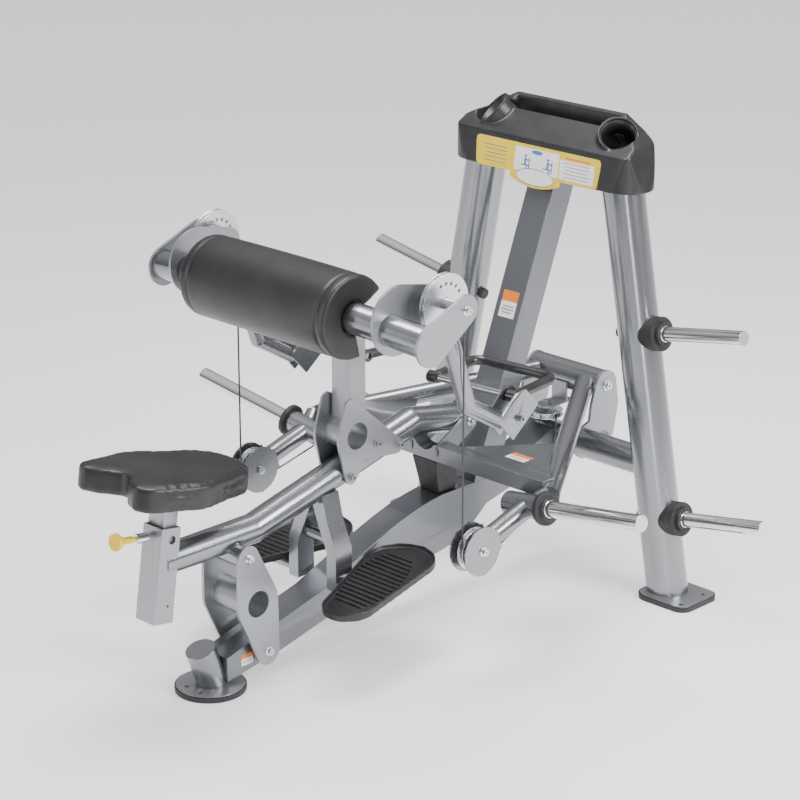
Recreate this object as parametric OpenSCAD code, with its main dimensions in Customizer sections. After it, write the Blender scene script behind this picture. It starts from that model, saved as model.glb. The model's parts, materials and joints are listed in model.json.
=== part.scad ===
// Plate-loaded seated arm-curl machine with a counter-moving seat frame.
// Millimetres, +Z up, +X from the seat towards the tower, Y across the machine.
// Every piece is laid out from the middle of the front foot and then moved by
// foot_x, so the origin is on the floor under the middle of the whole machine.

/* [Frame] */
// Distance from the middle of the machine to the middle of the front foot
foot_x = 612.7; // [560:1:680]
// Width of the box-section spine
spine_w = 100; // [84:2:108]
// Outside diameter of a tower leg
leg_d = 127; // [114:1:130]
// Height of a tower leg
leg_h = 1290; // [1270:5:1300]
// Distance of a leg's foot from the middle plane
leg_foot_y = 497; // [485:1:505]
// Sideways lean of a leg, in degrees
leg_lean = 10.2; // [9.8:0.1:10.6]
// Outside diameter of the tower's cross tube
cross_d = 89; // [76:1:92]
// Rearward lean of the column, in degrees
column_lean = 21.2; // [20.8:0.1:21.6]
// Diameter of a storage horn
horn_d = 45; // [30:1:50]
// Diameter of a weight horn
weight_horn_d = 48; // [30:1:50]
// Wall of the larger tubes
wall = 4; // [3:0.5:6]

/* [Linkage] */
// Radius of the linkage's pivot pins
pin_r = 12; // [10:0.5:14]
// Radial clearance of a running fit
fit = 0.05; // [0.02:0.01:0.08]
// Radial clearance of the pin at the top of the front link
open_fit = 4; // [3.8:0.1:4.4]
// Outside diameter of the seat frame's main tube
main_d = 86; // [76:1:86]
// Outside diameter of a yoke tube
yoke_d = 60; // [48:1:62]

/* [Seat and pads] */
// Lean of the seat post towards the tower, in degrees
seat_lean = 8.5; // [7:0.1:10]
// Thickness of the seat pad
seat_t = 72; // [50:1:76]
// Outside radius of the arm pad
pad_r = 120; // [110:1:124]
// Length of the arm pad
pad_len = 586; // [500:2:600]

/* [Arms and cable] */
// Radius at which the cable lies on a cam
cam_r = 80; // [70:1:84]
// Radius at which the cable lies on a pulley
pulley_r = 52; // [46:1:54]
// Diameter of the cable
cable_d = 5.6; // [4:0.2:6]
// Width of a handle
handle_w = 280; // [240:5:290]
// Reach of a handle from its hinge rod
handle_reach = 208; // [180:2:216]

/* [Hidden] */
$fn = 64;

// Pivots of the linkage, as [x, z] in the middle plane
low_pivot = [152, 90];        // spine to front link
link_pivot = [83, 390];       // front link to seat frame
rear_pivot = [1000, 556];     // seat frame to weight arm
tower_pivot = [1518, 565];    // weight arm to tower
elbow = [460, 1128];          // arm levers to seat frame

// Tower
tower_x = 1418;
leg_r = leg_d / 2;
foot_rubber_h = 12;
foot_plate_h = 6;
foot_h = foot_rubber_h + foot_plate_h;
cross_z = 403;
spine_top = 351;
column_d = 92;
column_w = 100;
column_front = 1028;
upper_horn_z = 805;
lower_horn_z = 243;
horn_len = 395;
collar_r = 52;
collar_h = 40;
horn_root = 62;
shoulder = 2;
bracket_y = 142;
bracket_t = 10;
tray_low = 1237;
tray_half = 369;

// Weight arm
beam_x = [860, 910];
beam_z = [463, 513];
sleeve_r = 46;
pulley_at = [592, 382];
cable_y = 459;
pulley_plate_r = 72;
short_slope = 16.7;
guide_at = [909, 430, 423];
equaliser_at = [1404, 472];
equaliser_r = 47;
cable_r = cable_d / 2;
groove_gap = 0.4;
weld = 0.2;                   // how far a joint bead stands proud of its tubes

// Seat frame
post_foot = [-197.5, 271];
sleeve_h = 272;
sleeve_box = [66, 78];
post_box = [50, 62];
knob_h = 244;
pad_tube = [290, 1090];
tube_r = 44;
pad_inner = 75;
pad_start = 29;
pad_angle = 254;
bracket_tube = [533, 629];
upright_w = 74;
dome_y = 406;
elbow_plate_y = 538;
arm_y = 425;
arm_r = 26;

// Handles: each hinge rod is turned a little in plan
handle_at = [770, 280, 777];
handle_turn = -6.5;
rod_r = 11;
grip_r = 15;

// Colours
silver = [0.62, 0.64, 0.66];
plate_grey = [0.72, 0.74, 0.76];
dark_silver = [0.45, 0.47, 0.49];
chrome = [0.85, 0.86, 0.88];
black = [0.08, 0.08, 0.09];
yellow = [0.95, 0.82, 0.1];

// ---- Shapes used by several pieces ----

// Moves a piece from the front foot's frame to the machine's frame
module placed() {
    translate([-foot_x, 0, 0]) children();
}

// The same piece on the left and, mirrored, on the right
module both_sides() {
    children();
    mirror([0, 1, 0]) children();
}

// side 1 leaves a piece on the left, side -1 mirrors it to the right
module on_side(side) {
    if (side > 0) children();
    else mirror([0, 1, 0]) children();
}

// Turns +Z to point from p to q, at p
module along(p, q) {
    v = q - p;
    translate(p)
        rotate([0, acos(v.z / norm(v)), atan2(v.y, v.x)])
            children();
}

// Round bar from p to q
module rod(p, q, r) {
    along(p, q) cylinder(h = norm(q - p), r = r);
}

// Closed tube from p to q
module tube(p, q, r) {
    along(p, q) difference() {
        cylinder(h = norm(q - p), r = r);
        translate([0, 0, wall]) cylinder(h = norm(q - p) - 2 * wall, r = r - wall);
    }
}

// Round bar across the machine, centred at y
module cross_rod(at, r, y, len) {
    translate([at.x, y + len / 2, at.y]) rotate([90, 0, 0]) cylinder(h = len, r = r);
}

// Plate in an upright plane along the machine, centred at y; drawn in [x, z]
module side_plate(y, t) {
    translate([0, y + t / 2, 0]) rotate([90, 0, 0]) linear_extrude(t) children();
}

// Flat outline round two circles, with straight tangent sides
module strap(p, pr, q, qr) {
    d = norm(q - p);
    a = atan2(q.y - p.y, q.x - p.x);
    b = acos((pr - qr) / d);
    translate(p) circle(pr);
    translate(q) circle(qr);
    polygon([
        p + pr * [cos(a + b), sin(a + b)],
        p + pr * [cos(a - b), sin(a - b)],
        q + qr * [cos(a - b), sin(a - b)],
        q + qr * [cos(a + b), sin(a + b)]
    ]);
}

// Round bar along a bent path drawn in [x, z]
module bent_bar(path, r) {
    for (i = [0:len(path) - 2]) rod(upright_point(path[i]), upright_point(path[i + 1]), r);
    for (i = [1:len(path) - 2]) translate(upright_point(path[i])) sphere(r + weld);
}

// The hollow inside each straight length of a bent tube
module bent_bore(path, r) {
    for (i = [0:len(path) - 2]) {
        u = (path[i + 1] - path[i]) / norm(path[i + 1] - path[i]);
        rod(upright_point(path[i] + u * r), upright_point(path[i + 1] - u * r), r);
    }
}

function upright_point(p) = [p.x, 0, p.y];

// Socket-head bolt standing on a plate, its axis across the machine
module bolt_head(at, y, r = 9) {
    out = y < 0 ? 90 : -90;
    translate([at.x, y, at.y]) rotate([out, 0, 0]) difference() {
        union() {
            cylinder(h = 3, r = r * 1.5);
            cylinder(h = 14, r = r);
        }
        translate([0, 0, 8]) cylinder(h = 10, r = r * 0.55, $fn = 6);
    }
}

// Point on a cubic curve
function curve(a, b, c, d, t) =
    a * pow(1 - t, 3) + 3 * b * t * pow(1 - t, 2) + 3 * c * t * t * (1 - t) + d * pow(t, 3);

// ---- Front foot and spine ----

floor_holes = [[-64, 28], [-64, -28]];

module front_foot() {
    color(plate_grey) placed() translate([0, 0, foot_rubber_h]) difference() {
        cylinder(h = foot_plate_h, r = 98);
        for (p = floor_holes) translate([p.x, p.y, -1]) cylinder(h = 20, r = 7);
    }
}

module front_foot_rubber() {
    color(black) placed() difference() {
        cylinder(h = foot_rubber_h + 4, r = 102);
        translate([0, 0, foot_rubber_h]) cylinder(h = 10, r = 98);
        for (p = floor_holes) translate([p.x, p.y, -1]) cylinder(h = 30, r = 7);
    }
}

post_low = [14, 0, -6];
post_high = [-35, 0, 132];

module front_post() {
    color(silver) placed() difference() {
        rod(post_low, post_high, 44);
        translate([-100, -100, -60]) cube([200, 200, 60 + foot_h]);
    }
}

module spine_side(inset) {
    rise = [for (i = [0:12])
        curve([379, 190], [560, 258], [716, 336], [886, spine_top], i / 12) - [0, inset]];
    polygon(concat(
        [[20 + inset, 100 - inset]], rise,
        [[1132, spine_top - inset], [1400, 440 - inset], [1400, 372 + inset],
         [1175, 289 + inset], [1083, 269 + inset], [1021, 222 + inset], [927, 179 + inset],
         [863, 169 + inset], [423, 106 + inset], [229, 61 + inset], [20 + inset, 28 + inset]]
    ));
}

module spine_beam() {
    color(silver) placed() difference() {
        union() {
            side_plate(0, spine_w) spine_side(0);
            cross_rod(low_pivot, 24, 0, 132);
        }
        difference() {
            side_plate(0, spine_w - 2 * wall) spine_side(wall);
            cross_rod(low_pivot, 24, 0, 132);
        }
        rod(post_low, post_high, 44);
        cross_rod([tower_x, cross_z], cross_d / 2, 0, 200);
        cross_rod(low_pivot, pin_r + fit, 0, 200);
    }
}

module bumper() {
    color(black) placed() intersection() {
        side_plate(0, 120)
            polygon([[884, spine_top], [956, spine_top], [962, 462.5], [858, 462.5]]);
        translate([840, 0, 0]) rotate([90, 0, 90]) linear_extrude(140)
            polygon([[-38, spine_top], [38, spine_top], [49, 462.5], [-49, 462.5]]);
    }
}

// ---- Tower ----

// Solid outline of a leg, cut flat on its foot plate
module leg_bar(r, low, high) {
    translate([tower_x, leg_foot_y, 0]) intersection() {
        rotate([leg_lean, 0, 0]) translate([0, 0, -60]) cylinder(h = leg_h + 160, r = r);
        translate([-200, -600, low]) cube([400, 900, high - low]);
    }
}

module tower_leg(side) {
    color(silver) placed() on_side(side) difference() {
        leg_bar(leg_r, foot_h, leg_h);
        leg_bar(leg_r - wall, foot_h + wall, leg_h - wall);
    }
}

foot_bolts = [[1353, 598], [1458, 598]];

module rear_foot_outline(grow) {
    strap([1376, 480], 50 + grow, [1365, 592], 38 + grow);
    strap([1456, 480], 50 + grow, [1467, 592], 38 + grow);
    polygon([[1376, 430 - grow], [1456, 430 - grow], [1467, 630 + grow], [1365, 630 + grow]]);
}

module foot_holes() {
    for (p = foot_bolts) translate([p.x, p.y, -1]) cylinder(h = 60, r = 7);
}

module rear_feet() {
    color(plate_grey) placed() both_sides() difference() {
        translate([0, 0, foot_rubber_h]) linear_extrude(foot_plate_h) rear_foot_outline(-4);
        foot_holes();
    }
}

module rear_foot_rubbers() {
    color(black) placed() both_sides() difference() {
        linear_extrude(foot_rubber_h + 4) rear_foot_outline(0);
        translate([0, 0, foot_rubber_h]) linear_extrude(20) rear_foot_outline(-4);
        foot_holes();
    }
}

module cross_tube() {
    color(silver) placed() difference() {
        cross_rod([tower_x, cross_z], cross_d / 2, 0, 860);
        cross_rod([tower_x, cross_z], cross_d / 2 - wall, 0, 900);
        both_sides() leg_bar(leg_r, 200, 600);
    }
}

module column_bar(inset) {
    along_x = (column_d - 2 * inset) / cos(column_lean);
    x0 = column_front + inset / cos(column_lean);
    dz = 950;
    dx = dz * tan(column_lean);
    low = spine_top + inset;
    side_plate(0, column_w - 2 * inset) polygon([
        [x0 + inset * tan(column_lean), low],
        [x0 + inset * tan(column_lean) + along_x, low],
        [x0 + along_x + dx, spine_top + dz],
        [x0 + dx, spine_top + dz]
    ]);
}

module column() {
    color(dark_silver) placed() intersection() {
        difference() {
            column_bar(0);
            column_bar(wall);
        }
        translate([900, -100, 0]) cube([900, 200, leg_h]);
    }
}

cup_at = [1416, 252, 1395];
cup_r = 62;
cup_hole_r = 54;
cup_depth = 84;

// Turns +Z to a left cup's own axis, at the middle of its rim
module at_cup() {
    along(cup_at, cup_at + [-52, 48, 70]) children();
}

module top_tray() {
    color(black) placed() difference() {
        union() {
            intersection() {
                side_plate(0, 900)
                    polygon([[1335, tray_low], [1504, tray_low], [1500, 1446], [1350, 1342]]);
                translate([1300, 0, 0]) rotate([90, 0, 90]) linear_extrude(250)
                    polygon([[-tray_half, tray_low], [tray_half, tray_low], [336, 1368],
                             [216, 1438], [-216, 1438], [-336, 1368]]);
                translate([0, 0, tray_low]) linear_extrude(300) union() {
                    strap([1418, -289], 80, [1418, 289], 80);
                    translate([1335, -289]) square([168, 578]);
                }
            }
            both_sides() at_cup() translate([0, 0, -70]) cylinder(h = 70, r = cup_r);
        }
        both_sides() at_cup() translate([0, 0, -cup_depth])
            cylinder(h = cup_depth + 100, r = cup_hole_r);
        both_sides() leg_bar(leg_r, 1100, leg_h);
        column_bar(0);
        translate([1440, -205, 1340]) cube([40, 410, 200]);
    }
}

tray_slope = atan(15 / 105);

module placard() {
    color(yellow) placed() translate([1335, 0, tray_low]) rotate([0, tray_slope, 0])
        rotate([90, 0, 90]) translate([0, 0, -2]) linear_extrude(2) {
            strap([-234, 76], 14, [234, 76], 14);
            strap([-228, 14], 14, [228, 14], 14);
            polygon([[-248, 76], [248, 76], [242, 14], [-242, 14]]);
            intersection() {
                translate([0, 214]) circle(250);
                translate([0, -168]) circle(250);
                translate([-100, -60]) square([200, 90]);
            }
        }
}

// Puts a storage horn's pieces on a left leg: +Z runs out along the horn
module at_horn(z) {
    y = leg_foot_y - z * tan(leg_lean);
    translate([tower_x, y, z]) rotate([leg_lean - 90, 0, 0]) children();
}

module storage_horns() {
    color(chrome) placed() both_sides() for (z = [upper_horn_z, lower_horn_z]) difference() {
        at_horn(z) {
            cylinder(h = horn_len, r = horn_d / 2);
            cylinder(h = horn_root + collar_h + shoulder, r = horn_d / 2 + shoulder);
        }
        leg_bar(leg_r, 0, leg_h);
    }
}

module storage_collars() {
    color(black) placed() both_sides() for (z = [upper_horn_z, lower_horn_z]) difference() {
        at_horn(z) {
            cylinder(h = horn_root + collar_h * 0.7, r = collar_r);
            cylinder(h = horn_root + collar_h, r = 36);
        }
        at_horn(z) cylinder(h = 300, r = horn_d / 2 + shoulder);
        leg_bar(leg_r, 0, leg_h);
    }
}

module horn_bosses() {
    color(black) placed() both_sides() for (z = [upper_horn_z, lower_horn_z]) difference() {
        at_horn(z) rotate([180, 0, 0]) cylinder(h = 78, r = 17);
        leg_bar(leg_r, 0, leg_h);
    }
}

module kidney() {
    strap(tower_pivot, 48, [1513, 497], 64);
    strap([1513, 497], 64, [1500, 420], 60);
    strap([1500, 420], 60, [1428, 403], 54);
}

module tower_brackets() {
    color(plate_grey) placed() difference() {
        both_sides() {
            side_plate(bracket_y, bracket_t) kidney();
            bolt_head([1519, 402], bracket_y + bracket_t / 2);
        }
        cross_rod([tower_x, cross_z], cross_d / 2, 0, 400);
        cross_rod(tower_pivot, 15, 0, 400);
    }
}

module tower_pin() {
    color(chrome) placed() {
        cross_rod(tower_pivot, 15, 0, 2 * bracket_y + bracket_t);
        both_sides() bolt_head(tower_pivot, bracket_y + bracket_t / 2, 11);
    }
}

// ---- Weight arm ----

module pivot_sleeve() {
    color(dark_silver) placed() difference() {
        cross_rod(tower_pivot, sleeve_r, 0, 2 * bracket_y - bracket_t - 1);
        cross_rod(tower_pivot, 15 + fit, 0, 400);
    }
}

yoke_high = [1475, 95, 572];
yoke_low = [872, 487, 471];

module yoke_tube(side) {
    color(silver) placed() on_side(side) difference() {
        tube(yoke_high, yoke_low, yoke_d / 2);
        cross_rod(tower_pivot, sleeve_r, 0, 400);
    }
}

// Furthest the seat frame rocks back on the weight arm
rock = 18.6;
rear_at = upright_point(rear_pivot);
seam = 0.1;

module cross_beam() {
    beam = beam_x[1] - beam_x[0];
    beam_h = beam_z[1] - beam_z[0];
    color(dark_silver) placed() difference() {
        union() {
            difference() {
                translate([beam_x[0], -470, beam_z[0]]) cube([beam, 940, beam_h]);
                both_sides() translate([beam_x[0] + wall, 60, beam_z[0] + wall])
                    cube([beam - 2 * wall, 402, beam_h - 2 * wall]);
                // Saddle that the main tube sinks into as the seat frame rocks
                translate(rear_at) rotate([0, -rock, 0]) translate(-rear_at)
                    rod(upright_point(main_path[2]), upright_point(main_path[3]), main_d / 2 + 2.5);
            }
            both_sides() {
                // Shelf plate between the beam and the yoke
                translate([0, 0, beam_z[1] - 6]) linear_extrude(6)
                    polygon([[beam_x[1] + seam, 110], [beam_x[1] + seam, 455], [1150, 305]]);
                // Ears that hold the seat frame's rear pivot
                difference() {
                    side_plate(52, 9) strap(rear_pivot, 30, [885, 494], 30);
                    translate([beam_x[0] - seam, 0, beam_z[0] - seam])
                        cube([beam + 2 * seam, 100, beam_h + 2 * seam]);
                }
            }
        }
        both_sides() rod(yoke_high, yoke_low, yoke_d / 2);
        both_sides() hub_rods();
        cross_rod(rear_pivot, pin_r, 0, 200);
    }
}

module rear_pin() {
    color(chrome) placed() {
        cross_rod(rear_pivot, pin_r, 0, 113);
        both_sides() bolt_head(rear_pivot, 56.5);
    }
}

// The weight horn's line: hub end near the beam, tip outside
horn_in = [823, 378, 434];
horn_face = [812, 520, 459.5];
horn_tip = [783, 899, 528];
horn_dir = (horn_tip - horn_face) / norm(horn_tip - horn_face);

module hub_rods() {
    rod(horn_in, horn_face, 36);
    rod([870, 486, 480], [820, 462, 448], 26);
}

module horn_hubs() {
    color(silver) placed() both_sides() difference() {
        hub_rods();
        rod(yoke_high, yoke_low, yoke_d / 2);
        along(horn_face, horn_tip) cylinder(h = 40, r = 60);
        rod(horn_face - 60 * horn_dir, horn_tip, weight_horn_d / 2 + shoulder);
    }
}

module weight_horns() {
    color(chrome) placed() both_sides() {
        rod(horn_face - 60 * horn_dir, horn_tip, weight_horn_d / 2);
        rod(horn_face - 60 * horn_dir, horn_face + 28 * horn_dir, weight_horn_d / 2 + shoulder);
    }
}

module weight_collars() {
    color(black) placed() both_sides() along(horn_face, horn_tip) difference() {
        union() {
            cylinder(h = 16, r = 50);
            cylinder(h = 26, r = 34);
        }
        translate([0, 0, -1]) cylinder(h = 60, r = weight_horn_d / 2 + shoulder);
    }
}

// Unit direction of the short tubes, from the pulley back to the hub
short_dir = [cos(short_slope), sin(short_slope)];

module pulley_arm(side) {
    low = pulley_at + short_dir * (pulley_plate_r + 0.5);
    high = pulley_at + short_dir * 236;
    color(silver) placed() on_side(side) difference() {
        union() {
            tube([low.x, cable_y, low.y], [high.x, cable_y, high.y], 30);
            for (y = [cable_y - 28, cable_y + 28]) difference() {
                side_plate(y, 5) {
                    circle_at(pulley_at, pulley_plate_r);
                    strap(pulley_at + short_dir * 60, 34, pulley_at + short_dir * 76, 30);
                    strap(pulley_at + [6, -58], 16, pulley_at, 40);
                }
                translate([low.x, y - 20, low.y]) rotate([0, -short_slope, 0])
                    translate([0, 0, -50]) cube([120, 40, 100]);
            }
        }
        rod(horn_in, horn_face, 36);
        cross_rod(pulley_at, 10, cable_y, 200);
    }
}

module circle_at(p, r) {
    translate(p) circle(r);
}

module pulley_pins() {
    color(chrome) placed() both_sides() {
        cross_rod(pulley_at, 10, cable_y, 61);
        bolt_head(pulley_at, cable_y + 30.5);
        cross_rod(pulley_at, 13, cable_y - 34, 7);
    }
}

module cable_guides() {
    color(plate_grey) placed() both_sides() difference() {
        translate([guide_at.x - 34, guide_at.y - 17, guide_at.z - 16]) cube([68, 34, 30]);
        translate([guide_at.x - 40, guide_at.y - 12, guide_at.z - 30]) cube([80, 24, 40]);
        rod(guide_at, [equaliser_at.x, equaliser_r, equaliser_at.y], 6);
        rod(guide_at, pulley_turn[len(pulley_turn) - 1], 6);
    }
}

// Grooved wheel lying in its own XY plane, bored for its pin
module wheel(line_r, rim_r, half_w, bore_r, gap = groove_gap) {
    rotate_extrude() difference() {
        translate([bore_r, -half_w]) square([rim_r - bore_r, 2 * half_w]);
        translate([line_r, 0]) circle(cable_r + gap);
        polygon([[line_r, cable_r + gap], [rim_r + 1, half_w - 2],
                 [rim_r + 1, 2 - half_w], [line_r, -cable_r - gap]]);
    }
}

module lower_pulley(side) {
    color(silver) placed() on_side(side)
        translate([pulley_at.x, cable_y, pulley_at.y]) rotate([90, 0, 0])
            wheel(pulley_r, 62, 10, 10 + fit, 0.9);
}

module equaliser_pulley() {
    color(dark_silver) placed() translate([equaliser_at.x, 0, equaliser_at.y])
        wheel(equaliser_r, 54, 9, 10 + fit, 2.4);
}

module equaliser_bracket() {
    at = [equaliser_at.x, 0, equaliser_at.y];
    color(plate_grey) placed() difference() {
        union() {
            translate(at + [0, 0, 20]) linear_extrude(6) union() {
                circle(30);
                translate([0, -30]) square([100, 60]);
            }
            translate(at + [60, -30, 26]) cube([8, 60, 60]);
            translate(at + [0, 0, -14]) cylinder(h = 52, r = 10);
            translate(at + [0, 0, -18]) cylinder(h = 6, r = 16);
            translate(at + [0, 0, 26]) cylinder(h = 5, r = 15);
        }
        cross_rod(tower_pivot, sleeve_r, 0, 400);
    }
}

// The steel cable below: round both lower pulleys, through the guides and round the
// equaliser, swept as one eight-sided tube
cable_sides = 8;
cable_side_vector = [0.4, 0.1, 0.9];

// Middle line of one side, from the front of its pulley to the side of the equaliser
pulley_turn = [for (a = [180:18:288])
    [pulley_at.x + pulley_r * cos(a), cable_y, pulley_at.y + pulley_r * sin(a)]];
half_line = concat(pulley_turn, [guide_at, [equaliser_at.x, equaliser_r, equaliser_at.y]]);
equaliser_turn = [for (a = [60:-30:-60])
    [equaliser_at.x + equaliser_r * cos(a), equaliser_r * sin(a), equaliser_at.y]];
cable_line = concat(
    half_line, equaliser_turn,
    [for (i = [len(half_line) - 1:-1:0]) [half_line[i].x, -half_line[i].y, half_line[i].z]]
);

function unit(v) = v / norm(v);
function heading(line, i) =
    i == 0 ? line[1] - line[0]
        : i == len(line) - 1 ? line[i] - line[i - 1]
            : unit(line[i + 1] - line[i]) + unit(line[i] - line[i - 1]);
function ring(line, i) =
    let (t = unit(heading(line, i)), u = unit(cross(t, cable_side_vector)), v = cross(t, u))
    [for (k = [0:cable_sides - 1])
        line[i] + cable_r * (u * cos(k * 360 / cable_sides) + v * sin(k * 360 / cable_sides))];

module swept_cable(line) {
    n = cable_sides;
    last = len(line) - 1;
    polyhedron(
        points = [for (i = [0:last]) each ring(line, i)],
        faces = concat(
            [[for (k = [0:n - 1]) k]],
            [for (i = [0:last - 1], k = [0:n - 1])
                [i * n + k, i * n + n + k, i * n + n + (k + 1) % n, i * n + (k + 1) % n]],
            [[for (k = [n - 1:-1:0]) last * n + k]]
        )
    );
}

module cable_run() {
    color(black) placed() swept_cable(cable_line);
}

// ---- Front link ----

link_y = 73;
link_t = 10;
link_hole = [117, 244];

module front_link() {
    color(plate_grey) placed() difference() {
        union() {
            both_sides() side_plate(link_y, link_t) {
                strap(link_pivot, 38, link_hole, 74);
                strap(link_hole, 74, low_pivot, 42);
            }
            cross_rod(link_hole, 45, 0, 2 * link_y);
        }
        cross_rod(link_hole, 39, 0, 200);
        cross_rod(link_pivot, pin_r, 0, 200);
        cross_rod(low_pivot, pin_r, 0, 200);
    }
}

module link_pins() {
    color(chrome) placed() for (p = [link_pivot, low_pivot]) {
        cross_rod(p, pin_r, 0, 2 * link_y + link_t);
        both_sides() bolt_head(p, link_y + link_t / 2);
    }
}

// ---- Seat frame ----

main_path = [[-175, 436], [165, 436], [800, 593], [985, 560]];

module main_tube() {
    color(silver) placed() difference() {
        union() {
            bent_bar(main_path, main_d / 2);
            cross_rod(link_pivot, 30, 0, 130);
            cross_rod(rear_pivot, 28, 0, 94);
        }
        bent_bore(main_path, main_d / 2 - wall);
        cross_rod(link_pivot, pin_r + open_fit, 0, 200);
        cross_rod(rear_pivot, pin_r + fit, 0, 200);
        on_post() sleeve_bar(0);
    }
}

// The seat post's own frame: +Z up along the post, from the sleeve's lower end
module on_post() {
    translate([post_foot.x, 0, post_foot.y]) rotate([0, seat_lean, 0]) children();
}

module sleeve_bar(inset) {
    size = sleeve_box - 2 * inset * [1, 1];
    translate([-size.x / 2, -size.y / 2, 0]) cube([size.x, size.y, sleeve_h]);
}

module seat_sleeve() {
    color(plate_grey) placed() on_post() difference() {
        sleeve_bar(0);
        translate([0, 0, -50]) scale([1, 1, 2]) sleeve_bar(wall);
        translate([0, 0, knob_h]) rotate([0, -90, 0]) cylinder(h = 60, r = 9);
        translate([6, 0, 238]) rotate([90, 0, 0]) cylinder(h = 60, r = 12);
        translate([10, 0, 50]) rotate([90, 0, 0]) cylinder(h = 60, r = 4);
    }
}

module seat_post() {
    color(silver) placed() on_post() {
        difference() {
            translate([-post_box.x / 2, -post_box.y / 2, 60])
                cube([post_box.x, post_box.y, post_top - 60]);
            translate([-post_box.x / 2 + 3, -post_box.y / 2 + 3, 50])
                cube([post_box.x - 6, post_box.y - 6, post_top - 60]);
        }
        translate([-70, -60, post_top]) cube([220, 120, 6]);
    }
}

post_top = 357;
pad_low = post_top + 6;

// Outline of the seat pad: two lobes behind with a hollow between them, and a round nose
module seat_outline() {
    lobe = [-150, 105];
    hip = [-20, 60];
    nose = [115, 0];
    difference() {
        union() {
            for (s = [-1, 1]) {
                strap([lobe.x, s * lobe.y], 60, [hip.x, s * hip.y], 128);
                strap([hip.x, s * hip.y], 128, nose, 140);
            }
            polygon([lobe, hip, nose, [hip.x, -hip.y], [lobe.x, -lobe.y]]);
        }
        translate([-380, 0]) circle(200);
    }
}

module seat_pad() {
    color(black) placed() on_post() translate([0, 0, pad_low])
        linear_extrude(seat_t) seat_outline();
}

module pin_barrel() {
    color(chrome) placed() on_post() translate([-sleeve_box.x / 2, 0, knob_h])
        rotate([0, -90, 0]) difference() {
            union() {
                cylinder(h = 60, r = 14);
                translate([0, 0, -wall]) cylinder(h = wall, r = 9);
            }
            translate([0, 0, -20]) cylinder(h = 100, r = 6 + fit);
        }
}

module pop_pin() {
    color(yellow) placed() on_post() translate([0, 0, knob_h]) rotate([0, -90, 0]) {
        translate([0, 0, post_box.x / 2 + 0.4]) cylinder(h = 110, r = 6);
        translate([0, 0, 106]) cylinder(h = 36, r = 10);
        translate([0, 0, 142]) cylinder(h = 14, r1 = 15, r2 = 24);
        translate([0, 0, 156]) cylinder(h = 10, r = 24);
    }
}

module frame_brackets() {
    color(plate_grey) placed() difference() {
        both_sides() {
            side_plate(48, 8) {
                strap(bracket_tube, 76, [508, 722], 24);
                strap(bracket_tube, 76, [693, 558], 24);
                strap(bracket_tube, 76, [508, 512], 24);
            }
            for (p = [[610, 588], [700, 562], [506, 512]]) bolt_head(p, 52);
        }
        cross_rod(bracket_tube, 40, 0, 200);
    }
    color(silver) placed() difference() {
        cross_rod(bracket_tube, 45, 0, 88);
        cross_rod(bracket_tube, 40, 0, 200);
    }
}

module upright() {
    color(plate_grey) placed() difference() {
        side_plate(0, upright_w)
            polygon([[518, 590], [580, 590], [580, 930], [330, 1120], [280, 1060], [518, 880]]);
        side_plate(0, upright_w - 2 * wall)
            polygon([[522, 620], [576, 620], [576, 928], [330, 1114], [284, 1062], [522, 882]]);
        cross_rod(bracket_tube, 45, 0, 200);
        cross_rod(pad_tube, tube_r, 0, 200);
        pad_roll();
    }
}

// Foam roll over the support tube, open at the back
module pad_roll() {
    translate([pad_tube.x, pad_len / 2, pad_tube.y]) rotate([90, 0, 0])
        rotate([0, 0, pad_start]) rotate_extrude(angle = pad_angle)
            translate([tube_r + 0.5, 0]) square([pad_r - tube_r - 0.5, pad_len]);
}

tube_bend = [290, 300, 1090];
tube_end = [325, 534, 1063];

module support_bar(r) {
    cross_rod(pad_tube, r, 0, 600);
    both_sides() {
        rod(tube_bend, tube_end, r);
        translate(tube_bend) sphere(r + weld);
    }
}

module support_tube() {
    color(silver) placed() support_bar(tube_r);
}

module elbow_plates() {
    color(plate_grey) placed() both_sides() {
        difference() {
            side_plate(elbow_plate_y, 8) {
                strap(elbow, 43, [332, 1058], 60);
            }
            rod(tube_bend, tube_end, tube_r);
            cross_rod(elbow, pin_r, 0, 1200);
        }
        difference() {
            side_plate(dome_y, 8) strap(elbow, 44, [336, 1098], 98);
            rod(tube_bend, tube_end, tube_r);
            cross_rod(elbow, pin_r, 0, 1200);
        }
    }
}

module elbow_pins() {
    color(chrome) placed() both_sides() {
        cross_rod(elbow, pin_r, (dome_y + elbow_plate_y) / 2, elbow_plate_y - dome_y + 8);
        cross_rod(elbow, 19, (cable_y + 8.5 + elbow_plate_y - 4) / 2, elbow_plate_y - cable_y - 12.5);
        bolt_head(elbow, elbow_plate_y + 4);
    }
}

module arm_pad() {
    color(black) placed() pad_roll();
}

hanger_x = [398, 462];

module pedal_hangers() {
    color(silver) placed() both_sides() difference() {
        union() {
            translate([hanger_x[0], 0, 0]) rotate([90, 0, 90])
                linear_extrude(hanger_x[1] - hanger_x[0])
                    polygon([[6, 480], [44, 480], [64, 400], [98, 320], [98, 198], [60, 198],
                             [60, 312], [30, 380], [6, 440]]);
            rod([430, 98, 216], [430, 262, 216], 18);
            rod([430, 0, 340], [430, 66, 340], 18);
        }
        bent_bar(main_path, main_d / 2);
    }
}

pedal_tilt = 4.6;
pedal_heel = [-130, 255];
pedal_heel_r = 78;
pedal_toe = [150, 170];
pedal_toe_r = 108;

module pedal(side) {
    color(black) placed() on_side(side)
        translate([430, 0, 234.5]) rotate([0, -pedal_tilt, 0]) difference() {
            linear_extrude(24) pedal_outline(0);
            translate([0, 0, 14]) linear_extrude(20) pedal_outline(-7);
        }
}

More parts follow.
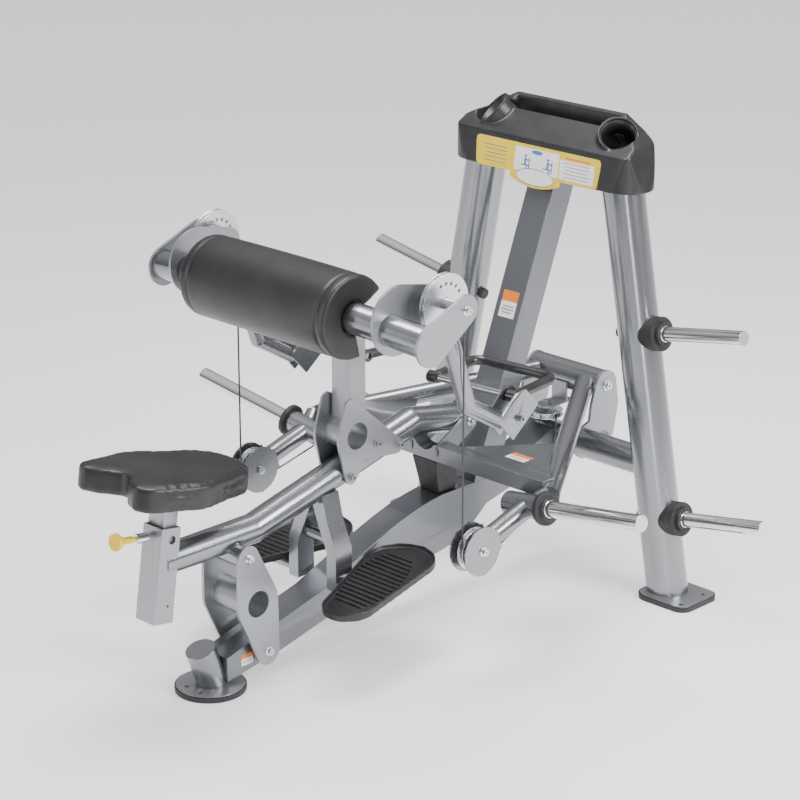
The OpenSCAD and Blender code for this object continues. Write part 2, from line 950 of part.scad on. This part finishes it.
// Two rounded ends joined by straight sides. The sides start just inside the round ends.
module pedal_outline(grow) {
    translate(pedal_heel) circle(pedal_heel_r + grow);
    translate(pedal_toe) circle(pedal_toe_r + grow);
    across = [pedal_heel.y - pedal_toe.y, pedal_toe.x - pedal_heel.x] / norm(pedal_toe - pedal_heel);
    heel_side = across * (pedal_heel_r + grow - weld);
    toe_side = across * (pedal_toe_r + grow - weld);
    polygon([pedal_heel + heel_side, pedal_heel - heel_side, pedal_toe - toe_side, pedal_toe + toe_side]);
}

// ---- Arms ----

module cam(side) {
    color(silver) placed() on_side(side)
        translate([elbow.x, cable_y, elbow.y]) rotate([90, 0, 0]) difference() {
            union() {
                wheel(cam_r, cam_r + 7, 8, pin_r + fit);
                rotate_extrude(angle = 100) translate([cam_r, 0]) circle(cable_r, $fn = 16);
            }
            for (a = [30:20:110]) rotate([0, 0, a]) translate([58, 0, -20]) cylinder(h = 40, r = 5);
        }
}

arm_path = [[505, 1050], [545, 930], [590, 800], [722, 722]];

module arm_lever(side) {
    color(silver) placed() on_side(side) difference() {
        union() {
            cross_rod(elbow, 38, 431, 40);
            side_plate(431, 36) strap(elbow, 37, [503, 1040], 26);
            translate([0, arm_y, 0]) bent_bar(arm_path, arm_r);
            handle_bracket();
            along_handle() {
                translate([0, -150, 0]) rotate([-90, 0, 0]) cylinder(h = 310, r = rod_r);
            }
        }
        cross_rod(elbow, pin_r + fit, 431, 100);
    }
}

module handle_bracket() {
    for (y = [arm_y - 29, arm_y + 22]) side_plate(y, 6)
        polygon([[694, 729], [765, 796], [805, 800], [859, 745], [820, 712], [755, 662]]);
    bolt_head([779, 721], arm_y + 25);
}

// A handle's own frame: +Y out along its hinge rod
module along_handle() {
    translate(handle_at) rotate([0, 0, handle_turn]) children();
}

module handle(side) {
    corner = 36;
    half = handle_w / 2;
    reach = handle_reach - corner;
    color(black) placed() on_side(side) along_handle() difference() {
        union() {
            for (s = [-1, 1]) {
                translate([0, s * half, 0]) rotate([0, 90, 0]) cylinder(h = reach, r = grip_r);
                translate([reach, s * (half - corner), 0])
                    rotate([0, 0, s > 0 ? 0 : -90]) rotate_extrude(angle = 90)
                        translate([corner, 0]) circle(grip_r);
                translate([0, s * half, 0]) rotate([90, 0, 0]) translate([0, 0, -16])
                    cylinder(h = 32, r = rod_r + 7);
            }
            translate([handle_reach, half - corner, 0]) rotate([90, 0, 0])
                cylinder(h = 2 * (half - corner), r = grip_r);
        }
        translate([0, -200, 0]) rotate([-90, 0, 0]) cylinder(h = 400, r = rod_r + fit);
    }
}

// ---- Cable from the cams down to the lower pulleys ----

module cable_drop(side) {
    color(black) placed() on_side(side)
        rod([elbow.x + cam_r, cable_y, pulley_at.y + 1], [elbow.x + cam_r, cable_y, elbow.y],
            cable_r, $fn = 16);
}

front_foot();
front_foot_rubber();
front_post();
spine_beam();
bumper();
tower_leg(-1);  // tower_leg_right
tower_leg(1);  // tower_leg_left
rear_feet();
rear_foot_rubbers();
cross_tube();
column();
top_tray();
placard();
storage_horns();
storage_collars();
horn_bosses();
tower_brackets();
tower_pin();
pivot_sleeve();
yoke_tube(-1);  // yoke_right
yoke_tube(1);  // yoke_left
cross_beam();
horn_hubs();
weight_horns();
weight_collars();
pulley_arm(-1);  // pulley_arm_right
pulley_arm(1);  // pulley_arm_left
pulley_pins();
cable_guides();
rear_pin();
equaliser_bracket();
cable_run();
lower_pulley(-1);  // lower_pulley_right
lower_pulley(1);  // lower_pulley_left
equaliser_pulley();
front_link();
link_pins();
main_tube();
seat_sleeve();
pin_barrel();
frame_brackets();
upright();
support_tube();
elbow_plates();
elbow_pins();
arm_pad();
pedal_hangers();
pedal(-1);  // pedal_right
pedal(1);  // pedal_left
cable_drop(-1);  // cable_drop_right
cable_drop(1);  // cable_drop_left
seat_post();
seat_pad();
pop_pin();
cam(-1);  // cam_right
cam(1);  // cam_left
arm_lever(-1);  // arm_right
arm_lever(1);  // arm_left
handle(-1);  // handle_right
handle(1);  // handle_left
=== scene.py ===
import json
import math

import bmesh
import bpy
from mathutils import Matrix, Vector
from mathutils.bvhtree import BVHTree


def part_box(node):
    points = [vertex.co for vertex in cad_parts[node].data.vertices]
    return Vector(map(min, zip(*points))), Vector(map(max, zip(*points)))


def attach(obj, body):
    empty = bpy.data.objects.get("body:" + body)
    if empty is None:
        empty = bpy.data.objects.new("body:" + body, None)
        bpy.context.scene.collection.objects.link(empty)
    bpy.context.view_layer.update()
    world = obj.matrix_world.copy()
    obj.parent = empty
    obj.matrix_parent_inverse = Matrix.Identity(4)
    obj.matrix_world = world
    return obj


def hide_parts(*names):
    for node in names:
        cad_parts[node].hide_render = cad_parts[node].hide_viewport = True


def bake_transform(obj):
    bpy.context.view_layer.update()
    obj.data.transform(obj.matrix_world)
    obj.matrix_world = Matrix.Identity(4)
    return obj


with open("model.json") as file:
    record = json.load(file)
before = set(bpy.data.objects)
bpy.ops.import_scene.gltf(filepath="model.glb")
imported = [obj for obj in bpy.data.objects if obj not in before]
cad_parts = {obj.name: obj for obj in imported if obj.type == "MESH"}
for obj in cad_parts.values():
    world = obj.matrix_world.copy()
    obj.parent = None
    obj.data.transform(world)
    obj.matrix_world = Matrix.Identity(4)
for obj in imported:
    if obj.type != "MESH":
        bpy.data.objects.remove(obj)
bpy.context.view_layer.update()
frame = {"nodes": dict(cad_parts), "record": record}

# ---- Camera, floor and studio light ----
# The machine is laid out from the middle of its front foot, which is the disc under the front post.
foot_low, foot_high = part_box("front_foot")
foot = Vector(((foot_low.x + foot_high.x) / 2, 0.0, 0.0))

camera_data = bpy.data.cameras.new("camera")
camera_data.lens = 118.0
camera_data.sensor_width = 36.0
camera = bpy.data.objects.new("camera", camera_data)
camera.location = foot + Vector((-4.393, -5.083, 3.197))
camera.rotation_euler = (math.radians(70.75), 0.0, math.radians(-45.38))
bpy.context.scene.collection.objects.link(camera)
bpy.context.scene.camera = camera


def add_panel_light(name, place, aim, size, power, tint=(1.0, 1.0, 1.0)):
    data = bpy.data.lights.new(name, "AREA")
    data.shape = "RECTANGLE"
    data.size, data.size_y = size
    data.energy = power
    data.color = tint
    panel = bpy.data.objects.new(name, data)
    panel.location = place
    panel.rotation_euler = (Vector(aim) - Vector(place)).to_track_quat("-Z", "Y").to_euler()
    bpy.context.scene.collection.objects.link(panel)


add_panel_light("key_panel", (1.4, -4.4, 3.0), (0.1, 0.0, 0.6), (2.4, 1.8), 260)
add_panel_light("top_panel", (0.2, 0.4, 4.2), (0.1, 0.0, 0.4), (2.6, 1.4), 170)
add_panel_light("left_strip", (-4.2, 2.0, 2.0), (0.0, 0.0, 0.7), (0.5, 2.8), 46)
add_panel_light("front_strip", (-2.4, -4.2, 1.2), (0.2, 0.0, 0.6), (0.3, 2.4), 30)

world = bpy.data.worlds.new("studio")
bpy.context.scene.world = world
world.use_nodes = True
sky = world.node_tree.nodes
direction = sky.new("ShaderNodeTexCoord")
split = sky.new("ShaderNodeSeparateXYZ")
ramp = sky.new("ShaderNodeValToRGB")
ramp.color_ramp.elements[0].position = 0.05
ramp.color_ramp.elements[0].color = (0.10, 0.105, 0.115, 1)
ramp.color_ramp.elements[1].position = 0.8
ramp.color_ramp.elements[1].color = (1.0, 1.0, 1.0, 1)
world.node_tree.links.new(direction.outputs["Generated"], split.inputs[0])
world.node_tree.links.new(split.outputs["Z"], ramp.inputs[0])
world.node_tree.links.new(ramp.outputs[0], sky["Background"].inputs["Color"])
sky["Background"].inputs["Strength"].default_value = 0.8

floor_mesh = bpy.data.meshes.new("floor")
shape = bmesh.new()
bmesh.ops.create_grid(shape, x_segments=1, y_segments=1, size=40.0)
shape.to_mesh(floor_mesh)
shape.free()
floor = bpy.data.objects.new("floor", floor_mesh)
bpy.context.scene.collection.objects.link(floor)
floor_paint = bpy.data.materials.new("floor_paint")
floor_paint.use_nodes = True
floor_paint.node_tree.nodes["Principled BSDF"].inputs["Base Color"].default_value = (0.86, 0.86, 0.86, 1)
floor_paint.node_tree.nodes["Principled BSDF"].inputs["Roughness"].default_value = 0.9
floor_paint.node_tree.nodes["Principled BSDF"].inputs["Emission Color"].default_value = (1, 1, 1, 1)
floor_paint.node_tree.nodes["Principled BSDF"].inputs["Emission Strength"].default_value = 0.55
floor_mesh.materials.append(floor_paint)

# ---- Painted steel: tubes, beams and plates ----
# Welded mild steel, powder coated in metallic silver under a clear coat. The laser-cut plates carry
# the same paint a shade lighter. Edges are broken by about a millimetre before painting.


def new_finish(name, colour, roughness, metallic=0.0, coat=0.0):
    finish = bpy.data.materials.new(name)
    finish.use_nodes = True
    shader = finish.node_tree.nodes["Principled BSDF"]
    shader.inputs["Base Color"].default_value = (*colour, 1)
    shader.inputs["Roughness"].default_value = roughness
    shader.inputs["Metallic"].default_value = metallic
    shader.inputs["Coat Weight"].default_value = coat
    shader.inputs["Coat Roughness"].default_value = 0.06
    return finish


def add_mottle(finish, low, high, scale, detail=3.0):
    nodes, links = finish.node_tree.nodes, finish.node_tree.links
    place = nodes.new("ShaderNodeTexCoord")
    cloud = nodes.new("ShaderNodeTexNoise")
    cloud.inputs["Scale"].default_value = scale
    cloud.inputs["Detail"].default_value = detail
    tint = nodes.new("ShaderNodeValToRGB")
    tint.color_ramp.elements[0].position = 0.3
    tint.color_ramp.elements[0].color = (*low, 1)
    tint.color_ramp.elements[1].position = 0.7
    tint.color_ramp.elements[1].color = (*high, 1)
    links.new(place.outputs["Object"], cloud.inputs["Vector"])
    links.new(cloud.outputs["Fac"], tint.inputs[0])
    links.new(tint.outputs[0], nodes["Principled BSDF"].inputs["Base Color"])


def add_grain(finish, scale, depth, strength=0.5, detail=2.0):
    nodes, links = finish.node_tree.nodes, finish.node_tree.links
    place = nodes.new("ShaderNodeTexCoord")
    grain = nodes.new("ShaderNodeTexNoise")
    grain.inputs["Scale"].default_value = scale
    grain.inputs["Detail"].default_value = detail
    bump = nodes.new("ShaderNodeBump")
    bump.inputs["Strength"].default_value = strength
    bump.inputs["Distance"].default_value = depth
    links.new(place.outputs["Object"], grain.inputs["Vector"])
    links.new(grain.outputs["Fac"], bump.inputs["Height"])
    links.new(bump.outputs["Normal"], nodes["Principled BSDF"].inputs["Normal"])


def add_rough_patches(finish, low, high, scale):
    nodes, links = finish.node_tree.nodes, finish.node_tree.links
    place = nodes.new("ShaderNodeTexCoord")
    cloud = nodes.new("ShaderNodeTexNoise")
    cloud.inputs["Scale"].default_value = scale
    cloud.inputs["Detail"].default_value = 4.0
    spread = nodes.new("ShaderNodeMapRange")
    spread.inputs["To Min"].default_value = low
    spread.inputs["To Max"].default_value = high
    links.new(place.outputs["Object"], cloud.inputs["Vector"])
    links.new(cloud.outputs["Fac"], spread.inputs["Value"])
    links.new(spread.outputs[0], nodes["Principled BSDF"].inputs["Roughness"])


tube_paint = new_finish("tube_paint", (0.26, 0.267, 0.285), 0.2, 0.9, 0.6)
add_mottle(tube_paint, (0.235, 0.242, 0.258), (0.285, 0.292, 0.31), 900)
add_rough_patches(tube_paint, 0.2, 0.3, 6)
add_grain(tube_paint, 260, 0.0002, 0.08)
plate_paint = new_finish("plate_paint", (0.33, 0.338, 0.362), 0.34, 0.75, 0.3)
add_mottle(plate_paint, (0.305, 0.312, 0.335), (0.36, 0.368, 0.392), 900)
add_rough_patches(plate_paint, 0.34, 0.44, 5)
add_grain(plate_paint, 240, 0.0002, 0.08)
# Painted shade: the column and beams carry the same silver paint as the tubes; this darker copy of it stands
# in for the shade on their faces turned away from the light.
shaded_beam_paint = new_finish("shaded_beam_paint", (0.2, 0.207, 0.228), 0.3, 0.8, 0.4)
add_mottle(shaded_beam_paint, (0.18, 0.187, 0.207), (0.225, 0.232, 0.253), 900)
add_rough_patches(shaded_beam_paint, 0.27, 0.36, 5)
add_grain(shaded_beam_paint, 240, 0.0002, 0.08)

chrome = new_finish("chrome", (0.82, 0.83, 0.85), 0.07, 1.0)
add_rough_patches(chrome, 0.04, 0.13, 22)
machined = new_finish("machined_aluminium", (0.74, 0.75, 0.77), 0.26, 1.0)
add_rough_patches(machined, 0.2, 0.34, 60)
add_grain(machined, 500, 0.0001, 0.1)
rubber = new_finish("black_rubber", (0.02, 0.02, 0.021), 0.55)
add_mottle(rubber, (0.014, 0.014, 0.015), (0.03, 0.03, 0.032), 40)
add_grain(rubber, 420, 0.0003, 0.3)
plastic = new_finish("black_plastic", (0.016, 0.016, 0.018), 0.36)
add_mottle(plastic, (0.012, 0.012, 0.014), (0.024, 0.024, 0.026), 14)
add_rough_patches(plastic, 0.3, 0.42, 30)
add_grain(plastic, 620, 0.00015, 0.25)

body_of_node = {
    node: body
    for body, nodes in frame["record"]["behaviour"]["bodies"].items()
    for node in nodes
}
slot_of_node = {row["node"]: row["material_slot"] for row in frame["record"]["subparts"]}


def merged_copy(node, name):
    """A closed mesh of a CAD node, its loose triangles welded and its flat faces joined."""
    mesh = frame["nodes"][node].data.copy()
    mesh.name = name
    mesh.materials.clear()
    shape = bmesh.new()
    shape.from_mesh(mesh)
    bmesh.ops.remove_doubles(shape, verts=shape.verts, dist=0.00002)
    bmesh.ops.dissolve_limit(
        shape, angle_limit=math.radians(0.6), verts=shape.verts, edges=shape.edges
    )
    shape.to_mesh(mesh)
    shape.free()
    piece = bpy.data.objects.new(name, mesh)
    bpy.context.scene.collection.objects.link(piece)
    return piece


def smooth_shaded(piece, degrees):
    mesh = piece.data
    mesh.polygons.foreach_set("use_smooth", [True] * len(mesh.polygons))
    mesh.update()
    mesh.set_sharp_from_angle(angle=math.radians(degrees))


def take_over(piece, *nodes):
    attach(piece, body_of_node[nodes[0]])
    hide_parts(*nodes)


def soft_edged(node, finish, width):
    """The CAD node with its sharp edges rounded to the given width."""
    piece = merged_copy(node, node + "_finished")
    edge = piece.modifiers.new("edge", "BEVEL")
    edge.width = width
    edge.segments = 2
    edge.limit_method = "ANGLE"
    edge.angle_limit = math.radians(38)
    piece.data.materials.append(finish)
    smooth_shaded(piece, 38)
    take_over(piece, node)
    return piece


painted = {
    tube_paint: {
        "front_post": 1.5, "tower_leg_right": 1, "tower_leg_left": 1, "cross_tube": 1,
        "yoke_right": 1.5, "yoke_left": 1.5, "horn_hubs": 1, "main_tube": 1,
        "support_tube": 1, "arm_right": 1, "arm_left": 1, "pulley_arm_right": 1,
        "pulley_arm_left": 1, "pedal_hangers": 3, "pivot_sleeve": 1.5,
    },
    plate_paint: {
        "front_foot": 1, "rear_feet": 1, "tower_brackets": 1, "front_link": 1,
        "frame_brackets": 1, "elbow_plates": 1, "upright": 3, "seat_sleeve": 2,
        "seat_post": 1.5, "cable_guides": 1, "equaliser_bracket": 1,
    },
    # The column and beams take the darker copy of the silver paint, which is painted shade.
    shaded_beam_paint: {"column": 3, "cross_beam": 1.5, "spine_beam": 2},
    chrome: {
        "storage_horns": 2, "weight_horns": 2, "tower_pin": 0.8, "rear_pin": 0.8,
        "link_pins": 0.8, "elbow_pins": 0.8, "pulley_pins": 0.8, "pin_barrel": 0.8,
    },
    machined: {
        "lower_pulley_right": 0.6, "lower_pulley_left": 0.6, "equaliser_pulley": 0.6,
        "cam_right": 0.6, "cam_left": 0.6,
    },
    rubber: {
        "front_foot_rubber": 2, "rear_foot_rubbers": 2, "bumper": 3,
        "storage_collars": 3, "weight_collars": 3, "horn_bosses": 2,
    },
}
for finish, nodes in painted.items():
    for node, width in nodes.items():
        soft_edged(node, finish, width / 1000)

# ---- Seat pad ----
# Moulded foam on a plywood board under black vinyl, screwed to the seat post's plate from below.
# The cover is pulled over the foam, so the top is slightly crowned and no edge is sharp.
vinyl = new_finish("pad_vinyl", (0.016, 0.016, 0.017), 0.4)
add_mottle(vinyl, (0.012, 0.012, 0.013), (0.022, 0.022, 0.023), 9)
add_rough_patches(vinyl, 0.34, 0.46, 7)
add_grain(vinyl, 380, 0.0005, 0.45, 4.0)


def grow_skin(piece, voxel, rounds, shrink=0.0):
    """One even skin over the piece, its edges worn round by the given rounds of smoothing."""
    bpy.context.view_layer.objects.active = piece
    if shrink:
        inward = piece.modifiers.new("inward", "DISPLACE")
        inward.strength = -shrink
        inward.mid_level = 0.0
    skin = piece.modifiers.new("skin", "REMESH")
    skin.mode = "VOXEL"
    skin.voxel_size = voxel
    wear = piece.modifiers.new("wear", "SMOOTH")
    wear.factor = 0.5
    wear.iterations = rounds
    done = bpy.data.meshes.new_from_object(
        piece.evaluated_get(bpy.context.evaluated_depsgraph_get())
    )
    piece.modifiers.clear()
    piece.data = done
    done.polygons.foreach_set("use_smooth", [True] * len(done.polygons))


def stuff(piece, pressure, most, held):
    """Fill the cover like foam does. No point moves further than most; held points stay put."""
    start = [v.co.copy() for v in piece.data.vertices]
    group = piece.vertex_groups.new(name="held")
    group.add([v.index for v in piece.data.vertices if held(v.co)], 1.0, "REPLACE")
    cover = piece.modifiers.new("cover", "CLOTH")
    cover.settings.quality = 4
    cover.settings.use_pressure = True
    cover.settings.uniform_pressure_force = pressure
    cover.settings.tension_stiffness = 30
    cover.settings.compression_stiffness = 30
    cover.settings.bending_stiffness = 4
    cover.settings.vertex_group_mass = "held"
    cover.settings.effector_weights.gravity = 0
    cover.collision_settings.use_collision = False
    cover.point_cache.frame_start, cover.point_cache.frame_end = 1, 20
    for step in range(1, 21):
        bpy.context.scene.frame_set(step)
    filled = piece.evaluated_get(bpy.context.evaluated_depsgraph_get()).data
    for vertex, was, now in zip(piece.data.vertices, start, filled.vertices):
        move = now.co - was
        vertex.co = was + move * min(1.0, most / max(move.length, 1e-9))
    piece.modifiers.clear()
    piece.vertex_groups.clear()
    bpy.context.scene.frame_set(1)


seat_low, seat_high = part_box("seat_pad")
seat_cushion = merged_copy("seat_pad", "seat_cushion")
grow_skin(seat_cushion, 0.005, 22, 0.002)
stuff(seat_cushion, 4.0, 0.005, lambda p: p.z < seat_low.z + 0.012)
seat_cushion.data.materials.clear()
seat_cushion.data.materials.append(vinyl)
finer = seat_cushion.modifiers.new("finer", "SUBSURF")
finer.levels = finer.render_levels = 1
take_over(seat_cushion, "seat_pad")

# ---- Arm pad ----
# A half-round foam roll over the support tube, covered in the same vinyl and screwed on from
# behind. A welted seam runs round it near each end, and the end caps are flat.
arm_low, arm_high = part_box("arm_pad")
arm_cushion = merged_copy("arm_pad", "arm_cushion")
grow_skin(arm_cushion, 0.005, 14, 0.003)
stuff(
    arm_cushion, 4.0, 0.005,
    lambda p: abs(p.y) > arm_high.y - 0.006 or p.z < arm_low.z + 0.012,
)
welt_depth, welt_half, welt_inset = 0.003, 0.008, 0.034
for vertex in arm_cushion.data.vertices:
    from_welt = abs(abs(vertex.co.y) - (arm_high.y - welt_inset))
    if from_welt < welt_half:
        dent = welt_depth * (1 - from_welt / welt_half)
        axis = Vector(((arm_low.x + arm_high.x) / 2, vertex.co.y, (arm_low.z + arm_high.z) / 2))
        vertex.co -= (vertex.co - axis).normalized() * dent
arm_cushion.data.materials.clear()
arm_cushion.data.materials.append(vinyl)
finer = arm_cushion.modifiers.new("finer", "SUBSURF")
finer.levels = finer.render_levels = 1
take_over(arm_cushion, "arm_pad")

# ---- Top tray with two cup holders ----
# One moulding in textured black plastic, screwed to the top of the column and both tower legs.
# Every edge carries a mould radius of some millimetres.
tray_shell = merged_copy("top_tray", "tray_shell")
grow_skin(tray_shell, 0.0032, 7)
tray_shell.data.materials.clear()
tray_shell.data.materials.append(plastic)
take_over(tray_shell, "top_tray")

# Each cup holder has its own pressed-in liner of the same plastic, a plain open cup.
cup_r, cup_wall, cup_deep, cup_set_in = 0.0545, 0.003, 0.086, 0.006
for side, name in ((-1, "cup_liner_right"), (1, "cup_liner_left")):
    rim_at = foot + Vector((1.416, side * 0.252, 1.395))
    cup_axis = Vector((-52, side * 48, 70)).normalized()
    liner_mesh = bpy.data.meshes.new(name)
    shape = bmesh.new()
    bmesh.ops.create_cone(
        shape, cap_ends=True, segments=64, radius1=cup_r, radius2=cup_r, depth=cup_deep
    )
    lid = [f for f in shape.faces if f.normal.z > 0.9]
    bmesh.ops.delete(shape, geom=lid, context="FACES_ONLY")
    turn = cup_axis.to_track_quat("Z", "Y")
    for vertex in shape.verts:
        vertex.co = rim_at + turn @ (vertex.co - Vector((0, 0, cup_deep / 2 + cup_set_in)))
    shape.to_mesh(liner_mesh)
    shape.free()
    liner_mesh.materials.append(plastic)
    liner = bpy.data.objects.new(name, liner_mesh)
    bpy.context.scene.collection.objects.link(liner)
    wall = liner.modifiers.new("wall", "SOLIDIFY")
    wall.thickness = cup_wall
    wall.offset = -1
    smooth_shaded(liner, 40)
    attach(liner, "base")

# ---- Pedals ----
# Moulded rubber-faced plastic foot plates with a raised rim, clipped on the cross bar that is
# welded under the main tube. Rows of low ribs give the soles grip.
pedal_bar_x, pedal_slope = 0.430, math.tan(math.radians(4.6))
tread_z = 0.25
tread_rows, tread_oval, tread_margin = 7, 8.6, 0.034
rib_width, rib_height, rib_pitch = 0.006, 0.0045, 0.021
toe_in = 0.3
for side, name in ((-1, "pedal_right"), (1, "pedal_left")):
    pedal = merged_copy(name, name + "_moulding")
    grow_skin(pedal, 0.003, 5)
    pedal.data.materials.clear()
    pedal.data.materials.append(plastic)
    take_over(pedal, name)

    low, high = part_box(name)
    middle_x, middle_y = (low.x + high.x) / 2, (low.y + high.y) / 2
    half_width = (high.y - low.y) / 2 - tread_margin
    tread_mesh = bpy.data.meshes.new(name + "_tread")
    shape = bmesh.new()
    for row in range(-tread_rows, tread_rows + 1):
        reach_y = math.sqrt(max(0.0, 1 - (row / tread_oval) ** 2)) * half_width
        rib = bmesh.ops.create_cube(shape, size=1.0)["verts"]
        bmesh.ops.scale(shape, vec=(rib_width, reach_y * 1.7, rib_height), verts=rib)
        along_x = row * rib_pitch
        bmesh.ops.translate(
            shape, vec=(middle_x + along_x, middle_y - side * along_x * toe_in, 0.0), verts=rib
        )
    for vertex in shape.verts:
        vertex.co.z += tread_z + (vertex.co.x - (foot.x + pedal_bar_x)) * pedal_slope
    shape.to_mesh(tread_mesh)
    shape.free()
    tread_mesh.materials.append(rubber)
    tread = bpy.data.objects.new(name + "_tread", tread_mesh)
    bpy.context.scene.collection.objects.link(tread)
    soft = tread.modifiers.new("soft", "BEVEL")
    soft.width, soft.segments = 0.0015, 2
    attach(tread, body_of_node[name])

# ---- Placard ----
# A printed board screwed under the tray's front: a yellow ground, three plain panels and a white
# lens-shaped badge below the middle. The print is generic: pictograms and grey bars, no lettering.
ink = {
    "placard_white": (0.9, 0.9, 0.88), "placard_blue": (0.05, 0.2, 0.5),
    "placard_grey": (0.16, 0.17, 0.18), "placard_orange": (0.85, 0.22, 0.02),
}
for name, colour in ink.items():
    ink[name] = new_finish(name, colour, 0.42)
    add_mottle(ink[name], [c * 0.94 for c in colour], [min(1, c * 1.04) for c in colour], 40)
board_slope = math.atan(15 / 105)
board_up = Vector((math.sin(board_slope), 0, math.cos(board_slope)))
board_out = Vector((-math.cos(board_slope), 0, math.sin(board_slope)))
board_thickness = 0.002
board_base = foot + Vector((1.335, 0, 1.237)) + board_out * board_thickness


def print_on(name, base, right, up, out, prints, ride_with):
    """Thin raised ink: rectangles and ovals as (shape, ink, u, v, width, height, layer) in mm."""
    film = 0.12
    mesh = bpy.data.meshes.new(name)
    inks = sorted({row[1] for row in prints})
    shape = bmesh.new()
    for kind, colour, u, v, width, height, layer in prints:
        if kind == "oval":
            rim = bmesh.ops.create_circle(shape, cap_ends=True, segments=40, radius=0.5)["verts"]
        else:
            rim = bmesh.ops.create_grid(shape, x_segments=1, y_segments=1, size=0.5)["verts"]
        for vertex in rim:
            x, y = vertex.co.x * width + u, vertex.co.y * height + v
            vertex.co = base + (right * x + up * y + out * film * (1 + layer)) / 1000
        for face in {f for vertex in rim for f in vertex.link_faces}:
            face.material_index = inks.index(colour)
            face.normal_update()
            if face.normal.dot(out) < 0:
                face.normal_flip()
    shape.to_mesh(mesh)
    shape.free()
    for colour in inks:
        mesh.materials.append(ink[colour])
    piece = bpy.data.objects.new(name, mesh)
    bpy.context.scene.collection.objects.link(piece)
    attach(piece, ride_with)


prints = [
    ("box", "placard_white", 0, 45, 176, 72, 0), ("box", "placard_white", -160, 38, 134, 58, 0),
    ("oval", "placard_blue", 0, 71, 44, 13, 1), ("box", "placard_orange", -160, 74, 96, 5, 0),
    ("oval", "placard_grey", 0, -4, 152, 52, 0), ("oval", "placard_white", 0, -4, 147, 47, 1),
]
for row in range(5):
    prints.append(("box", "placard_grey", 165 + 3 * (row % 2), 66 - 12 * row, 96 - 8 * (row % 3), 2.2, 1))
    prints.append(("box", "placard_grey", -158, 60 - 10.5 * row, 104 - 9 * (row % 3), 2, 1))
for figure in (-46, 44):
    prints += [
        ("oval", "placard_blue", figure, 56, 9, 9, 1), ("box", "placard_blue", figure, 40, 8, 20, 1),
        ("box", "placard_blue", figure - 9, 44, 14, 4, 2), ("box", "placard_grey", figure - 16, 34, 4, 34, 1),
        ("box", "placard_grey", figure, 28, 34, 4, 2), ("box", "placard_blue", figure - 6, 22, 5, 14, 1),
    ]
print_on(
    "placard_print", board_base, Vector((0, 1, 0)), board_up, board_out, prints, "base",
)

# ---- Caution labels ----
# Small self-adhesive labels, an orange band over a white field. They carry no lettering.


def stick_label(name, node, start, toward, up, width, height):
    mesh = frame["nodes"][node].data
    tree = BVHTree.FromPolygons(
        [v.co for v in mesh.vertices], [list(f.vertices) for f in mesh.polygons]
    )
    place, normal, face, reach = tree.ray_cast(start, Vector(toward).normalized())
    if place is None:
        raise RuntimeError("label " + name + " misses " + node)
    up = (Vector(up) - normal * normal.dot(Vector(up))).normalized()
    right = up.cross(normal)
    rows = [
        ("box", "placard_white", 0, 0, width, height, 0),
        ("box", "placard_orange", 0, height * 0.3, width, height * 0.4, 1),
        ("box", "placard_grey", 0, -height * 0.08, width * 0.7, height * 0.04, 1),
        ("box", "placard_grey", 0, -height * 0.2, width * 0.78, height * 0.04, 1),
        ("box", "placard_grey", 0, -height * 0.32, width * 0.6, height * 0.04, 1),
    ]
    print_on(name, place, right, up, normal, rows, body_of_node[node])


stick_label("column_label", "column", foot + Vector((0.6, 0.0, 0.86)), (1, 0, 0), (0, 0, 1), 62, 82)
stick_label(
    "beam_label", "cross_beam", foot + Vector((0.96, -0.29, 0.9)), (0, 0, -1), (1, 0, 0), 74, 46
)
stick_label(
    "spine_label", "spine_beam", foot + Vector((0.095, -0.6, 0.075)), (0, 1, 0), (0, 0, 1), 44, 34
)

# ---- Cables from the cams down to the lower pulleys ----
# Steel cable in a black nylon jacket, 5.6 mm over the jacket, always taut. It runs from the front
# of each cam to the pulley on the weight arm.
cable_finish = new_finish("cable_jacket", (0.012, 0.012, 0.013), 0.28, 0.0, 0.3)
add_mottle(cable_finish, (0.009, 0.009, 0.01), (0.018, 0.018, 0.02), 60)
cable_r, cable_steps = 0.0028, 48
for node in ("cable_drop_right", "cable_drop_left"):
    low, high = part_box(node)
    line_x, line_y = (low.x + high.x) / 2, (low.y + high.y) / 2
    mesh = bpy.data.meshes.new(node + "_cable")
    shape = bmesh.new()
    bmesh.ops.create_cone(
        shape, cap_ends=True, segments=20, radius1=cable_r, radius2=cable_r, depth=high.z - low.z
    )
    bmesh.ops.translate(shape, vec=(line_x, line_y, (low.z + high.z) / 2), verts=shape.verts)
    bmesh.ops.subdivide_edges(
        shape, edges=[e for e in shape.edges if e.calc_length() > cable_r * 10], cuts=cable_steps
    )
    shape.to_mesh(mesh)
    shape.free()
    mesh.materials.append(cable_finish)
    cable = bpy.data.objects.new(node + "_cable", mesh)
    bpy.context.scene.collection.objects.link(cable)
    smooth_shaded(cable, 40)
    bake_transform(cable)
    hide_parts(node)

# ---- Everything else that keeps its CAD shape ----
# Grips, the knob, the lower cable and the placard's board are shown as made, in their own finish.
grip = new_finish("grip_rubber", (0.02, 0.02, 0.021), 0.3, 0.0, 0.3)
add_mottle(grip, (0.014, 0.014, 0.015), (0.028, 0.028, 0.03), 30)
yellow = new_finish("yellow_label", (0.86, 0.62, 0.03), 0.4)
add_mottle(yellow, (0.8, 0.56, 0.02), (0.9, 0.67, 0.05), 5)
knob = new_finish("yellow_knob", (0.9, 0.6, 0.02), 0.35)
add_mottle(knob, (0.84, 0.55, 0.015), (0.93, 0.65, 0.03), 20)
finish_of_slot = {
    "silver_paint": tube_paint, "plate_paint": plate_paint, "dark_paint": shaded_beam_paint,
    "chrome": chrome, "black_rubber": rubber, "black_plastic": plastic, "pad_vinyl": vinyl,
    "grip_rubber": grip, "cable_jacket": cable_finish, "aluminium": machined,
    "yellow_label": yellow, "yellow_knob": knob,
}
for node, part in frame["nodes"].items():
    for row in part.material_slots:
        row.material = finish_of_slot[slot_of_node[node]]
